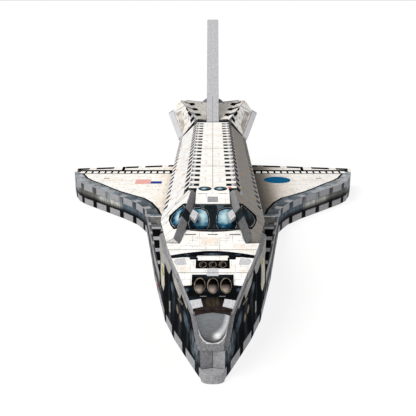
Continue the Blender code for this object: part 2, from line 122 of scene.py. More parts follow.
class Ink:
    # A small helper that wires one material's nodes.
    def __init__(self, name, rough=0.5, gloss=0.1):
        self.paint = bpy.data.materials.new(name)
        self.paint.use_nodes = True
        self.tree = self.paint.node_tree
        self.shader = self.tree.nodes["Principled BSDF"]
        self.shader.inputs["Roughness"].default_value = rough
        self.shader.inputs["Specular IOR Level"].default_value = gloss
        self.card = self.uvMap("card")
        self.spot = self.uvMap("spot")

    def uvMap(self, name):
        made = self.node("ShaderNodeUVMap")
        made.uv_map = name
        return made.outputs["UV"]

    def node(self, kind, **sockets):
        made = self.tree.nodes.new(kind)
        for key, value in sockets.items():
            made.inputs[key.replace("_", " ")].default_value = value
        return made

    def link(self, source, target):
        self.tree.links.new(source, target)

    def placed(self, source, scale, shift=(0.0, 0.0), turn=0.0):
        mapping = self.node("ShaderNodeMapping")
        mapping.inputs["Scale"].default_value = (scale[0], scale[1], 1.0)
        mapping.inputs["Location"].default_value = (shift[0], shift[1], 0.0)
        mapping.inputs["Rotation"].default_value = (0.0, 0.0, turn)
        self.link(source, mapping.inputs["Vector"])
        return mapping.outputs["Vector"]

    def noise(self, scale, detail=4.0, vector=None):
        made = self.node("ShaderNodeTexNoise", Scale=scale, Detail=detail)
        self.link(vector or self.card, made.inputs["Vector"])
        return made.outputs["Fac"]

    def ramp(self, source, stops):
        made = self.node("ShaderNodeValToRGB")
        band = made.color_ramp
        while len(band.elements) < len(stops):
            band.elements.new(0.5)
        for element, (place, colour) in zip(band.elements, stops):
            element.position = place
            element.color = (*colour, 1.0)
        self.link(source, made.inputs["Fac"])
        return made.outputs["Color"]

    def mix(self, factor, low, high, blend="MIX"):
        made = self.node("ShaderNodeMix")
        made.data_type = "RGBA"
        made.blend_type = blend
        slots = {"factor": made.inputs[0], "low": made.inputs[6], "high": made.inputs[7]}
        for key, value in (("factor", factor), ("low", low), ("high", high)):
            if isinstance(value, bpy.types.NodeSocket):
                self.link(value, slots[key])
            elif key == "factor":
                slots[key].default_value = value
            else:
                slots[key].default_value = (*value, 1.0)
        return made.outputs[2]

    def times(self, colour, shade, amount=1.0):
        return self.mix(amount, colour, shade, "MULTIPLY")

    def axis(self, source, pick, low, high):
        # 0 at low and 1 at high along one axis of a map.
        split = self.node("ShaderNodeSeparateXYZ")
        self.link(source, split.inputs[0])
        made = self.node("ShaderNodeMapRange")
        made.inputs["From Min"].default_value = low
        made.inputs["From Max"].default_value = high
        self.link(split.outputs[pick], made.inputs["Value"])
        return made.outputs["Result"]

    def distance(self, source, centre, size):
        # 0 at the centre and 1 at an oval of this half size.
        shift = (-centre[0] / size[0], -centre[1] / size[1])
        length = self.node("ShaderNodeVectorMath")
        length.operation = "LENGTH"
        self.link(self.placed(source, (1.0 / size[0], 1.0 / size[1]), shift), length.inputs[0])
        return length.outputs["Value"]

    def tiles(self, width, height, mortar, tones, shift=(0.0, 0.0)):
        bricks = self.node("ShaderNodeTexBrick", Scale=1.0, Mortar_Size=mortar, Brick_Width=width,
                           Row_Height=height, Mortar_Smooth=0.6)
        bricks.inputs["Color1"].default_value = (*tones[0], 1.0)
        bricks.inputs["Color2"].default_value = (*tones[1], 1.0)
        bricks.inputs["Mortar"].default_value = (*tones[2], 1.0)
        self.link(self.placed(self.card, (1.0, 1.0), shift), bricks.inputs["Vector"])
        return bricks.outputs["Color"]

    def bump(self, height, strength, distance=0.0002):
        made = self.node("ShaderNodeBump", Strength=strength, Distance=distance)
        self.link(height, made.inputs["Height"])
        self.link(made.outputs["Normal"], self.shader.inputs["Normal"])

    def finish(self, colour):
        self.link(colour, self.shader.inputs["Base Color"])
        return self.paint


def foamInk(name="foamEdge", low=0.28, high=0.46):
    ink = Ink(name, 0.95, 0.1)
    place = ink.node("ShaderNodeTexCoord").outputs["Object"]
    beads = ink.node("ShaderNodeTexVoronoi", Scale=1100.0)
    ink.link(place, beads.inputs["Vector"])
    cloud = ink.noise(900.0, 5.0, place)
    base = ink.ramp(cloud, [(0.32, (low, low, low * 1.05)), (0.68, (high, high, high * 1.05))])
    speck = ink.ramp(beads.outputs["Distance"], [(0.0, grey(1.0)), (0.7, grey(0.82))])
    ink.bump(beads.outputs["Distance"], 0.3, 0.0003)
    return ink.finish(ink.times(base, speck))


def whiteInk(name, tint, stainAmount=0.5, lineTone=0.62, root=None, gritTone=0.86, grid=(9.0, 5.4, 0.22), fine=(3.0, 2.7, 0.16)):
    # Cream tile print: broken seams, brown stains and fine grit; root shades it along one map axis.
    ink = Ink(name)
    wide = ink.tiles(*grid, (grey(1.0), grey(0.965), grey(lineTone)))
    small = ink.tiles(*fine, (grey(1.0), grey(0.975), grey(lineTone)), (1.3, 0.7))
    broken = ink.ramp(ink.noise(0.11, 2.0), [(0.46, grey(0.0)), (0.54, grey(1.0))])
    rare = ink.ramp(ink.noise(0.17, 3.0, ink.placed(ink.card, (1.0, 1.0), (11.0, 23.0))), [(0.54, grey(0.0)), (0.60, grey(0.9))])
    lines = ink.times(ink.mix(broken, grey(1.0), wide), ink.mix(rare, grey(1.0), small))
    broad = ink.ramp(ink.noise(0.05, 5.0), [(0.50, grey(0.0)), (0.75, grey(stainAmount))])
    warm = ink.ramp(ink.noise(0.13, 4.0, ink.placed(ink.card, (1.0, 1.0), (31.0, 7.0))), [(0.52, grey(0.0)), (0.72, grey(stainAmount))])
    grit = ink.ramp(ink.noise(1.3, 6.0), [(0.52, grey(1.0)), (0.72, grey(gritTone))])
    colour = ink.times(ink.times(tint, lines), grit)
    colour = ink.mix(broad, colour, tuple(t * s for t, s in zip(tint, (0.80, 0.73, 0.64))))
    colour = ink.mix(warm, colour, tuple(t * s for t, s in zip(tint, (0.96, 0.84, 0.68))))
    if root:
        dark = ink.ramp(ink.axis(ink.card, root["along"], *root["reach"]), root["stops"])
        colour = ink.times(colour, dark)
    return ink.finish(colour)


def blackInk(name, dark=(0.004, 0.005, 0.006), light=(0.030, 0.042, 0.055), stretch=(0.25, 1.0), seam=(3.4, 0.12, 1.7)):
    # Dark tile print with blue-grey streaks; seam is the tiles' size, their line's width and its tone.
    ink = Ink(name, 0.7, 0.0)
    lines = ink.tiles(seam[0], seam[0], seam[1], (grey(1.0), grey(0.8), grey(seam[2])))
    streak = ink.ramp(ink.noise(0.16, 5.0, ink.placed(ink.card, stretch)), [(0.50, dark), (0.76, light)])
    grit = ink.ramp(ink.noise(1.1, 4.0), [(0.45, grey(1.0)), (0.7, grey(0.5))])
    return ink.finish(ink.times(ink.times(streak, grit), lines))


def plainInk(name, colour, spread=0.15, scale=0.35, rough=0.55, stretch=(1.0, 1.0), gloss=0.0):
    ink = Ink(name, rough, gloss)
    low = tuple(c * (1.0 - spread) for c in colour)
    high = tuple(min(c * (1.0 + spread), 1.0) for c in colour)
    return ink.finish(ink.ramp(ink.noise(scale, 5.0, ink.placed(ink.card, stretch)), [(0.35, low), (0.65, high)]))


def fadeInk(name, colour, ground=(0.005, 0.006, 0.008)):
    # A soft mark: its colour in the middle of the shape, the ground's at its edge.
    ink = Ink(name, 0.6, 0.0)
    soft = ink.ramp(ink.distance(ink.spot, (0.5, 0.5), (0.62, 0.62)), [(0.25, grey(1.0)), (1.0, grey(0.0))])
    streak = ink.ramp(ink.noise(0.5, 4.0, ink.placed(ink.card, (1.0, 0.3))), [(0.38, grey(0.25)), (0.62, grey(1.0))])
    return ink.finish(ink.mix(ink.times(soft, streak), ground, colour))


def glassInk(name, pale, blue, deep, centre=(0.5, 0.5), size=(0.62, 0.75)):
    # A printed cabin window: pale in the middle, blue round it, dark at one corner.
    ink = Ink(name, 0.4, 0.04)
    bend = ink.ramp(ink.noise(0.35, 4.0, ink.placed(ink.card, (0.7, 1.6))), [(0.35, grey(0.72)), (0.65, grey(1.3))])
    away = ink.times(ink.distance(ink.spot, centre, size), bend)
    colour = ink.ramp(away, [(0.10, pale), (0.38, tuple((p + b) * 0.5 for p, b in zip(pale, blue))), (0.66, blue), (0.98, deep)])
    low = ink.ramp(ink.axis(ink.spot, 1, 0.0, 1.0), [(0.0, (0.10, 0.22, 0.30)), (0.34, grey(1.0))])
    return ink.finish(ink.times(colour, low))


def barrelInk(name, top, bottom):
    # The inside of a thruster: dark above, pale at the bottom.
    ink = Ink(name, 0.5, 0.0)
    colour = ink.ramp(ink.axis(ink.spot, 1, 0.0, 1.0), [(0.0, bottom), (0.34, tuple((a + b) / 3.2 for a, b in zip(top, bottom))), (0.62, top)])
    edge = ink.ramp(ink.distance(ink.spot, (0.36, 0.44), (0.56, 0.56)), [(0.45, grey(1.0)), (1.0, grey(0.12))])
    grain = ink.ramp(ink.noise(1.4, 4.0), [(0.35, grey(0.8)), (0.65, grey(1.1))])
    return ink.finish(ink.times(ink.times(colour, edge), grain))


def capInk(name):
    # The nose cap: grey metal, dark low on one side, with a painted highlight: a bright crescent low on the other and a
    # glint.
    ink = Ink(name, 0.45, 0.12)
    colour = ink.ramp(ink.axis(ink.spot, 1, 0.0, 1.0), [(0.0, grey(0.09)), (0.35, (0.15, 0.155, 0.165)), (0.72, (0.185, 0.20, 0.21)),
                                                        (1.0, (0.12, 0.13, 0.14))])
    # Painted highlight: the bright crescent and the glint below.
    away = ink.distance(ink.spot, (0.5, 0.86), (0.5, 0.86))
    ring = ink.ramp(away, [(0.60, grey(0.0)), (0.80, grey(1.0)), (0.97, grey(0.0))])
    side = ink.ramp(ink.axis(ink.spot, 0, 0.0, 1.0), [(0.45, grey(0.0)), (0.66, grey(0.85)), (0.9, grey(0.55))])
    colour = ink.mix(ink.times(ring, side), colour, (0.80, 0.81, 0.82))
    glint = ink.ramp(ink.distance(ink.spot, (0.62, 0.20), (0.12, 0.11)), [(0.0, grey(0.9)), (1.0, grey(0.0))])
    colour = ink.mix(glint, colour, (0.95, 0.95, 0.95))
    rim = ink.ramp(away, [(0.88, grey(1.0)), (1.0, grey(0.35))])
    left = ink.ramp(ink.axis(ink.spot, 0, 0.0, 1.0), [(0.0, grey(0.62)), (0.3, grey(1.0)), (1.0, grey(1.0))])
    brush = ink.ramp(ink.noise(0.8, 5.0, ink.placed(ink.card, (0.3, 2.0))), [(0.35, grey(0.88)), (0.65, grey(1.08))])
    return ink.finish(ink.times(ink.times(ink.times(colour, left), brush), rim))


def edgeInk(name, heights, along):
    # The wing's front edge: tones by height on the wall, tinted along it.
    ink = Ink(name, 0.55, 0.02)
    colour = ink.ramp(ink.axis(ink.card, 1, 0.0, 23.6), heights)
    tint = ink.ramp(ink.axis(ink.card, 0, 240.0, 425.0), along)
    streak = ink.ramp(ink.noise(0.35, 5.0, ink.placed(ink.card, (1.0, 0.25))), [(0.35, grey(0.55)), (0.65, grey(1.25))])
    return ink.finish(ink.times(ink.times(colour, tint), streak))


def stripInk(name, along):
    # The wing's front border: blue-grey, in blocks, darker towards the fuselage.
    ink = Ink(name, 0.55, 0.02)
    colour = ink.ramp(ink.axis(ink.card, 0, 38.0, 167.0), along)
    blocks = ink.tiles(13.0, 11.0, 0.35, (grey(1.25), grey(0.72), grey(0.35)))
    cloud = ink.ramp(ink.noise(0.09, 4.0), [(0.35, grey(0.65)), (0.65, grey(1.35))])
    return ink.finish(ink.times(ink.times(colour, blocks), cloud))


# Darkening towards the wing roots: the "left" stops, on the +X wing, are the fuselage's painted shadow over the root's
# brown print; the "right" stops only get darker and browner towards the root.
wingRoot = {"left": [(0.0, (0.05, 0.04, 0.03)), (0.16, (0.10, 0.085, 0.07)), (0.32, (0.28, 0.25, 0.215)), (0.46, (0.62, 0.59, 0.56)),
                     (0.8, grey(0.92))],
            "right": [(0.0, (0.26, 0.21, 0.16)), (0.10, (0.58, 0.51, 0.43)), (0.22, (0.92, 0.88, 0.83)), (0.42, grey(1.0))]}
edgeHeights = [(0.0, grey(0.004)), (0.37, grey(0.006)), (0.46, grey(0.12)), (0.58, (0.37, 0.365, 0.355)), (0.72, (0.22, 0.24, 0.25)),
               (1.0, (0.16, 0.17, 0.19))]
edgeAlong = [(0.0, (0.16, 0.18, 0.20)), (0.24, (0.25, 0.33, 0.42)), (0.35, (0.30, 0.40, 0.50)), (0.38, (1.4, 1.4, 1.34)),
             (0.50, (1.15, 1.16, 1.12)), (0.53, (0.42, 0.40, 0.38)), (0.66, (0.30, 0.29, 0.28)), (0.72, (0.95, 1.0, 1.1)), (1.0, (0.7, 0.75, 0.8))]
stripAlong = [(0.0, (0.05, 0.052, 0.055)), (0.13, (0.075, 0.085, 0.095)), (0.3, (0.10, 0.125, 0.145)), (0.42, (0.12, 0.15, 0.175)),
              (0.6, (0.25, 0.29, 0.32)), (0.8, (0.27, 0.29, 0.31)), (1.0, (0.42, 0.46, 0.50))]

slopeGrid = ((18.0, 6.85, 0.55), (4.5, 3.4, 0.4))  # seams on the bay's slopes: a coarse and a fine grid of width, height and line
wingGrid = ((13.0, 9.0, 0.5), (4.0, 7.0, 0.45))

paints = {
    "foam": foamInk(),
    # Lit and shaded copies of the one foam: the next two are lighter, painted light, and the two after them darker,
    # painted shade.
    "foamPale": foamInk("foamPale", 0.52, 0.74),
    "foamLitFin": foamInk("foamLitFin", 0.42, 0.66),
    "foamNear": foamInk("foamNear", 0.19, 0.33),
    "foamDim": foamInk("foamDim", 0.09, 0.17),
    # painted shade: near-black ink for foam faces inside the finger-joint slots
    "slot": plainInk("slotShade", (0.03, 0.03, 0.035), 0.4, 0.6),
    "whiteRoof": whiteInk("whiteRoofPrint", (0.97, 0.96, 0.94), 0.55, 0.62, None, 0.86, (11.0, 13.7, 0.4), (5.5, 4.5, 0.35)),
    "whiteDeck": whiteInk("whiteDeckPrint", (0.93, 0.92, 0.90), 0.55, 0.55),
    "warmTile": whiteInk("warmTilePrint", (0.90, 0.85, 0.79), 0.9, 0.6, None, 0.8, (3.2, 3.2, 0.14), (1.6, 1.6, 0.1)),
    "whiteSlopeRight": whiteInk("whiteSlopePrint", (0.84, 0.835, 0.825), 0.55, 0.55, None, 0.74, *slopeGrid),
    # painted shade: the +X slope's white print darkened to stand for the shade on that side
    "shadedSlopeLeft": whiteInk("paintedShadeSlopePrint", (0.27, 0.25, 0.228), 0.6, 0.6, None, 0.7, *slopeGrid),
    "whitePod": whiteInk("podPrint", (0.80, 0.785, 0.76), 0.9, 0.42, None, 0.7, (7.0, 9.0, 0.8), (3.5, 4.5, 0.5)),
    # painted light: a brighter copy of the pod print for the +X slope, making up for the shade there
    "paintedLightPodSlope": whiteInk("paintedLightPodSlopePrint", (0.99, 0.975, 0.95), 0.9, 0.42, None, 0.7, (7.0, 9.0, 0.8), (3.5, 4.5, 0.5)),
    # painted light: a brighter copy of the pod top print for the +X side, offsetting the fin's shadow there
    "paintedLightPodTop": whiteInk("paintedLightPodTopPrint", (0.84, 0.82, 0.78), 0.8, 0.55, None, 0.75, (9.0, 12.0, 0.9), (4.5, 6.0, 0.6)),
    "podTop": whiteInk("podTopPrint", (0.52, 0.51, 0.485), 0.8, 0.55, None, 0.75, (9.0, 12.0, 0.9), (4.5, 6.0, 0.6)),
    "whiteWingRight": whiteInk("whiteWingPrint", (0.95, 0.935, 0.91), 0.6, 0.6, {"along": 0, "reach": (37.0, 110.0), "stops": wingRoot["right"]}, 0.8, *wingGrid),
    # painted shadow: the +X wing's print darkened at the root
    "shadowedWingLeft": whiteInk("paintedShadowWingPrint", (0.95, 0.935, 0.91), 0.6, 0.6, {"along": 0, "reach": (37.0, 110.0), "stops": wingRoot["left"]}, 0.8, *wingGrid),
    "whiteSide": whiteInk("whiteSidePrint", (0.80, 0.79, 0.77), 0.5, 0.6),
    "black": blackInk("blackTilePrint"),
    "belly": blackInk("bellyPrint", (0.010, 0.011, 0.012), (0.026, 0.032, 0.038), (0.4, 0.4), (7.0, 0.45, 4.0)),
    "blackWall": blackInk("noseWallPrint", (0.008, 0.009, 0.010), (0.055, 0.07, 0.085), (0.8, 0.16)),
    "blackTeal": blackInk("windshieldPrint", (0.012, 0.018, 0.022), (0.13, 0.19, 0.23), (1.0, 0.35)),
    "postPrint": blackInk("postPrint", (0.02, 0.028, 0.032), (0.12, 0.15, 0.17), (1.0, 0.35)),
    "line": plainInk("inkLine", (0.004, 0.0045, 0.005), 0.4),
    "softLine": plainInk("softLine", (0.30, 0.29, 0.27), 0.2),
    "podStain": plainInk("podStain", (0.47, 0.43, 0.39), 0.35, 0.25, 0.55, (1.0, 0.4)),
    "rim": plainInk("windowRim", (0.16, 0.17, 0.175), 0.7, 0.5),
    "greyPrint": plainInk("greyWallPrint", (0.36, 0.35, 0.325), 0.22, 0.3, 0.55, (1.0, 0.2)),
    "cream": plainInk("creamPrint", (0.55, 0.52, 0.43), 0.18),
    "yellow": plainInk("yellowMark", (0.34, 0.32, 0.05), 0.3),
    "red": plainInk("redMark", (0.80, 0.04, 0.02), 0.15),
    "darkRed": plainInk("darkRedMark", (0.22, 0.02, 0.01), 0.3),
    "orange": plainInk("orangeTick", (0.50, 0.28, 0.09), 0.3),
    "bronze": fadeInk("bronzeMark", (0.34, 0.27, 0.21)),
    "beige": plainInk("thrusterRim", (0.17, 0.14, 0.105), 0.6, 0.5),
    "brown": plainInk("brownBand", (0.026, 0.019, 0.018), 0.35),
    "brownGlow": fadeInk("brownGlow", (0.06, 0.046, 0.032), (0.004, 0.004, 0.004)),
    "blueGrey": fadeInk("blueGreyPrint", (0.10, 0.14, 0.18)),
    "nearFront": fadeInk("noseCornerPrint", (0.16, 0.19, 0.22)),
    "wingStrip": stripInk("wingStripPrint", stripAlong),
    "shadePrint": plainInk("strakePrint", (0.13, 0.13, 0.125), 0.6, 0.5, 0.55, (0.3, 1.0)),
    "edgeBlue": plainInk("strakeBlue", (0.10, 0.13, 0.16), 0.4, 0.3),
    "tile": plainInk("hingeTile", (0.86, 0.85, 0.83), 0.12, 0.4),
    "stripeRed": plainInk("stripeRed", (0.66, 0.13, 0.10), 0.1),
    "stripePale": plainInk("stripePale", (0.80, 0.62, 0.57), 0.05),
    "blockBlue": plainInk("blockBlue", (0.02, 0.05, 0.26), 0.15),
    "ovalBlue": plainInk("ovalBlue", (0.006, 0.09, 0.20), 0.25),
    "glass": glassInk("windowPrint", (0.50, 0.66, 0.70), (0.01, 0.13, 0.24), (0.001, 0.006, 0.012), (0.42, 0.5), (0.42, 0.62)),
    "glassRight": glassInk("rightWindowPrint", (0.50, 0.68, 0.72), (0.012, 0.12, 0.21), (0.001, 0.008, 0.016), (0.70, 0.62), (0.60, 0.74)),
    "glassLeft": glassInk("leftWindowPrint", (0.50, 0.68, 0.72), (0.012, 0.12, 0.21), (0.001, 0.008, 0.016), (0.36, 0.60), (0.60, 0.74)),
    # painted shade: a darkened copy of the window print for the +X cabin side
    "glassDim": glassInk("paintedShadeWindowPrint", (0.016, 0.045, 0.055), (0.002, 0.009, 0.013), (0.001, 0.001, 0.002), (0.62, 0.8), (0.35, 0.5)),
    "barrel": barrelInk("thrusterInside", (0.004, 0.003, 0.003), (0.60, 0.49, 0.43)),
    "cap": capInk("noseCapPrintAndHighlight"),
    "edge": edgeInk("wingEdgePrint", edgeHeights, edgeAlong),
    "rib": plainInk("bellRib", (0.26, 0.27, 0.28), 0.3, 0.12, 0.4, (1.0, 1.0), 0.4),
    "steel": plainInk("bellMetal", (0.16, 0.17, 0.18), 0.3, 0.12, 0.35, (1.0, 1.0), 0.4),
}


# Flat shapes to print, in millimetres

def box(left, low, right, high):
    return [(left, low), (right, low), (right, high), (left, high)]


def oval(x, y, across, along, count=20):
    turns = [2.0 * math.pi * i / count for i in range(count)]
    return [(x + across * math.cos(a), y + along * math.sin(a)) for a in turns]


def flipped(outline):
    return [(-x, y) for x, y in outline]


def normalsOf(path, closed):
    found = []
    count = len(path)
    for i in range(count):
        before = path[i - 1] if i or closed else path[0]
        after = path[(i + 1) % count] if i + 1 < count or closed else path[-1]
        run = Vector((after[0] - before[0], after[1] - before[1])).normalized()
        found.append(Vector((run.y, -run.x)))
    return found


def band(path, width):
    # A strip of this width along an open path.
    normals = normalsOf(path, False)
    near = [(x + n.x * width / 2, y + n.y * width / 2) for (x, y), n in zip(path, normals)]
    far = [(x - n.x * width / 2, y - n.y * width / 2) for (x, y), n in zip(path, normals)]
    return near + far[::-1]


def grown(outline, amount):
    area = sum(a[0] * b[1] - b[0] * a[1] for a, b in zip(outline, outline[1:] + outline[:1]))
    turn = 1.0 if area > 0.0 else -1.0
    return [(x + n.x * amount * turn, y + n.y * amount * turn) for (x, y), n in zip(outline, normalsOf(outline, True))]


def bothSides(prints):
    return prints + [(paint, flipped(outline)) for paint, outline in prints]


# Printing: a shape's outline is cut into the card's faces, and what is inside takes its ink

views = {  # how a board is looked at: its two map axes and the plane that holds one outline edge
    "plan": {"flat": lambda p, side: (p.x / mm * side, p.y / mm - noseTip),
             "deep": lambda a, b, side: Vector((a * side * mm, (b + noseTip) * mm, 0.0)),
             "across": lambda da, db, side: Vector((db, -da * side, 0.0))},
    "wall": {"flat": lambda p, side: (p.y / mm - noseTip, p.z / mm),
             "deep": lambda a, b, side: Vector((0.0, (a + noseTip) * mm, b * mm)),
             "across": lambda da, db, side: Vector((0.0, db, -da))},
    "back": {"flat": lambda p, side: (p.x / mm, p.z / mm),
             "deep": lambda a, b, side: Vector((a * mm, 0.0, b * mm)),
             "across": lambda da, db, side: Vector((db, 0.0, -da))},
}


def inside(point, outline):
    hit = False
    x, y = point
    for (x0, y0), (x1, y1) in zip(outline, outline[1:] + outline[:1]):
        if (y0 > y) != (y1 > y) and x < (x1 - x0) * (y - y0) / (y1 - y0) + x0:
            hit = not hit
    return hit


def printShape(work, outline, slot, view, side, everyFace):
    flat = views[view]["flat"]
    spot = work.loops.layers.uv["spot"]

    def isCard(face):
        return face.material_index > 0 or everyFace

    for (a0, b0), (a1, b1) in zip(outline, outline[1:] + outline[:1]):
        low = (min(a0, a1) - 0.01, min(b0, b1) - 0.01)
        high = (max(a0, a1) + 0.01, max(b0, b1) + 0.01)
        near = []
        for face in work.faces:
            if not isCard(face):
                continue
            corners = [flat(v.co, side) for v in face.verts]
            if (max(c[0] for c in corners) > low[0] and min(c[0] for c in corners) < high[0]
                    and max(c[1] for c in corners) > low[1] and min(c[1] for c in corners) < high[1]):
                near.append(face)
        across = views[view]["across"](a1 - a0, b1 - b0, side)
        if not near or across.length < 1e-9:
            continue
        touched = near + list({e for f in near for e in f.edges}) + list({v for f in near for v in f.verts})
        bmesh.ops.bisect_plane(work, geom=touched, dist=2e-7, plane_co=views[view]["deep"](a0, b0, side),
                               plane_no=across.normalized())
    low = (min(a for a, _ in outline), min(b for _, b in outline))
    size = (max(a for a, _ in outline) - low[0], max(b for _, b in outline) - low[1])
    for face in work.faces:
        if isCard(face) and inside(flat(face.calc_center_median(), side), outline):
            face.material_index = slot
            for loop in face.loops:
                a, b = flat(loop.vert.co, side)
                loop[spot].uv = ((a - low[0]) / size[0], (b - low[1]) / size[1])


def dressBoard(name, card, ways, prints=(), view="plan", side=1, reach=0.75, edge=0.3, ends=(), wrap=(), foam="foam"):
    # A copy of the CAD board with rounded foam corners and its card side printed. Foam that faces
    # an end's way takes that end's ink, and the wrapped prints go over card and foam alike, in plan.
    mesh = nodes[name].data.copy()
    work = bmesh.new()
    work.from_mesh(mesh)
    bmesh.ops.remove_doubles(work, verts=work.verts, dist=2e-6)
    bmesh.ops.dissolve_limit(work, angle_limit=math.radians(1.0), verts=work.verts, edges=work.edges)
    work.normal_update()
    facing = [Vector(way).normalized() for way in (ways if isinstance(ways, list) else [ways])]
    for face in work.faces:
        face.material_index = 1 if any(face.normal.dot(way) > reach for way in facing) else 0
        face.smooth = False
        for i, (key, way) in enumerate(ends):
            if not face.material_index and face.normal.dot(Vector(way).normalized()) > 0.8:
                face.material_index = 2 + i
    used = [foam, card] + [key for key, way in ends]
    mesh.materials.clear()
    for key in used:
        mesh.materials.append(paints[key])
    work.to_mesh(mesh)
    work.free()
    dressed = bpy.data.objects.new(name + "Card", mesh)
    bpy.context.scene.collection.objects.link(dressed)
    soften = dressed.modifiers.new("soften", "BEVEL")
    soften.width = edge * mm
    soften.segments = 2
    soften.limit_method = "ANGLE"
    soften.angle_limit = math.radians(35.0)
    soften.material = 0
    evaluated = dressed.evaluated_get(bpy.context.evaluated_depsgraph_get())
    final = bpy.data.meshes.new_from_object(evaluated)
    dressed.modifiers.clear()
    dressed.data = final
    work = bmesh.new()
    work.from_mesh(final)
    work.loops.layers.uv.new("card")
    work.loops.layers.uv.new("spot")
    bmesh.ops.triangulate(work, faces=[f for f in work.faces if f.material_index or wrap])
    for key, outline, seen in [(*shape, view) for shape in prints] + [(*shape, None) for shape in wrap]:
        if key not in used:
            used.append(key)
            final.materials.append(paints[key])
        printShape(work, outline, used.index(key), seen or "plan", side, seen is None)
    layer = work.loops.layers.uv["card"]
    for face in work.faces:
        for loop in face.loops:
            loop[layer].uv = views[view]["flat"](loop.vert.co, side)
    work.to_mesh(final)
    work.free()
    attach(dressed, "root")
    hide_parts(name)
    return dressed


# Rows of like pieces, made with Geometry Nodes

def newGroup(name, sockets):
    tree = bpy.data.node_groups.new(name, "GeometryNodeTree")
    for label, kind in sockets.items():
        tree.interface.new_socket(label, in_out="INPUT", socket_type="NodeSocket" + kind)
    tree.interface.new_socket("Mesh", in_out="OUTPUT", socket_type="NodeSocketGeometry")
    return tree, tree.nodes.new("NodeGroupInput").outputs


def finishGroup(tree, given, copies):
    # Ends a group: real copies, painted.
    real, painted, made = (tree.nodes.new(kind) for kind in ("GeometryNodeRealizeInstances", "GeometryNodeSetMaterial", "NodeGroupOutput"))
    tree.links.new(copies.outputs["Instances"], real.inputs["Geometry"])
    tree.links.new(real.outputs["Geometry"], painted.inputs["Geometry"])
    tree.links.new(given["Paint"], painted.inputs["Material"])
    tree.links.new(painted.outputs["Geometry"], made.inputs["Mesh"])
    return tree


def pointsAlong(tree, given):
    line = tree.nodes.new("GeometryNodeMeshLine")
    line.mode = "OFFSET"
    copies = tree.nodes.new("GeometryNodeInstanceOnPoints")
    for label, socket in (("Start", "Start Location"), ("Step", "Offset"), ("Count", "Count")):
        tree.links.new(given[label], line.inputs[socket])
    tree.links.new(line.outputs["Mesh"], copies.inputs["Points"])
    return copies


def boxRow():
    # Boxes along a line: where the first one's middle is, the step, how many, and how large each is.
    tree, given = newGroup("boxRow", {"Start": "Vector", "Step": "Vector", "Count": "Int", "Size": "Vector", "Paint": "Material"})
    copies = pointsAlong(tree, given)
    cube = tree.nodes.new("GeometryNodeMeshCube")
    tree.links.new(given["Size"], cube.inputs["Size"])
    tree.links.new(cube.outputs["Mesh"], copies.inputs["Instance"])
    return finishGroup(tree, given, copies)


def ringRow():
    # Rings along a bell: each is larger than the one before it by the same step.
    tree, given = newGroup("ringRow", {"Start": "Vector", "Step": "Vector", "Count": "Int", "Radius": "Float", "Growth": "Float",
                                       "Thickness": "Float", "Paint": "Material"})
    copies = pointsAlong(tree, given)
    ring, profile = tree.nodes.new("GeometryNodeCurvePrimitiveCircle"), tree.nodes.new("GeometryNodeCurvePrimitiveCircle")
    ring.inputs["Resolution"].default_value = 48
    profile.inputs["Resolution"].default_value = 8
    tube = tree.nodes.new("GeometryNodeCurveToMesh")
    index, scale = tree.nodes.new("GeometryNodeInputIndex"), tree.nodes.new("ShaderNodeMath")
    scale.operation = "MULTIPLY_ADD"
    scale.inputs[2].default_value = 1.0
    copies.inputs["Rotation"].default_value = (math.pi / 2.0, 0.0, 0.0)
    for source, target in ((given["Radius"], ring.inputs["Radius"]), (given["Thickness"], profile.inputs["Radius"]),
                           (ring.outputs["Curve"], tube.inputs["Curve"]), (profile.outputs["Curve"], tube.inputs["Profile Curve"]),
                           (tube.outputs["Mesh"], copies.inputs["Instance"]), (index.outputs["Index"], scale.inputs[0]),
                           (given["Growth"], scale.inputs[1]), (scale.outputs["Value"], copies.inputs["Scale"])):
        tree.links.new(source, target)
    return finishGroup(tree, given, copies)


def grow(name, tree, values):
    # Runs a group with these inputs and keeps the result as a plain mesh; its card map is seen in plan.
    maker = bpy.data.objects.new(name, bpy.data.meshes.new(name))
    bpy.context.scene.collection.objects.link(maker)
    modifier = maker.modifiers.new("rows", "NODES")
    modifier.node_group = tree
    for item in tree.interface.items_tree:
        if item.in_out == "INPUT":
            modifier[item.identifier] = values[item.name]
    final = bpy.data.meshes.new_from_object(maker.evaluated_get(bpy.context.evaluated_depsgraph_get()))
    maker.modifiers.clear()
    maker.data = final
    while final.uv_layers:
        final.uv_layers.remove(final.uv_layers[0])
    card, spot = final.uv_layers.new(name="card"), final.uv_layers.new(name="spot")
    for loop in final.loops:
        p = final.vertices[loop.vertex_index].co
        card.data[loop.index].uv = (p.x / mm, p.y / mm - noseTip)
        spot.data[loop.index].uv = (0.5, 0.5)
    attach(maker, "root")
    return maker


def place(x, run, z):
    return (x * mm, (run + noseTip) * mm, z * mm)


def size(*lengths):
    return tuple(length * mm for length in lengths)


print("camera, light and floor")
placeCamera()
lightStudio()
layFloor()

print("nose decks")
deckUp = (0.0, -0.35, 0.94)
deckEdge = 0.1  # how far the deck boards' corners are rounded

capPrint = {"shield": [(-11.3, 13.6), (-9.3, 10.7), (-7.2, 7.9), (-5.4, 6.7), (-3.3, 6.0), (0.0, 5.7), (3.3, 6.0),
                       (5.4, 6.7), (7.2, 7.9), (9.3, 10.7), (11.3, 13.6), (11.3, 16.0), (-11.3, 16.0)],
            "rim": 0.5, "band": [(-12.6, 13.2), (-7.6, 14.0), (0.0, 14.5), (7.6, 14.0), (12.6, 13.2), (12.6, 16.0),
                                 (-12.6, 16.0)]}
# the nose cap's foam takes the darker foam copy as painted shade
dressBoard("nose_cap_panel", "foamNear", (0.0, -0.87, 0.49), [
    ("foamPale", grown(capPrint["shield"], capPrint["rim"])), ("cap", capPrint["shield"])],
    reach=0.95, edge=deckEdge, foam="foamNear", wrap=[("brown", capPrint["band"])])

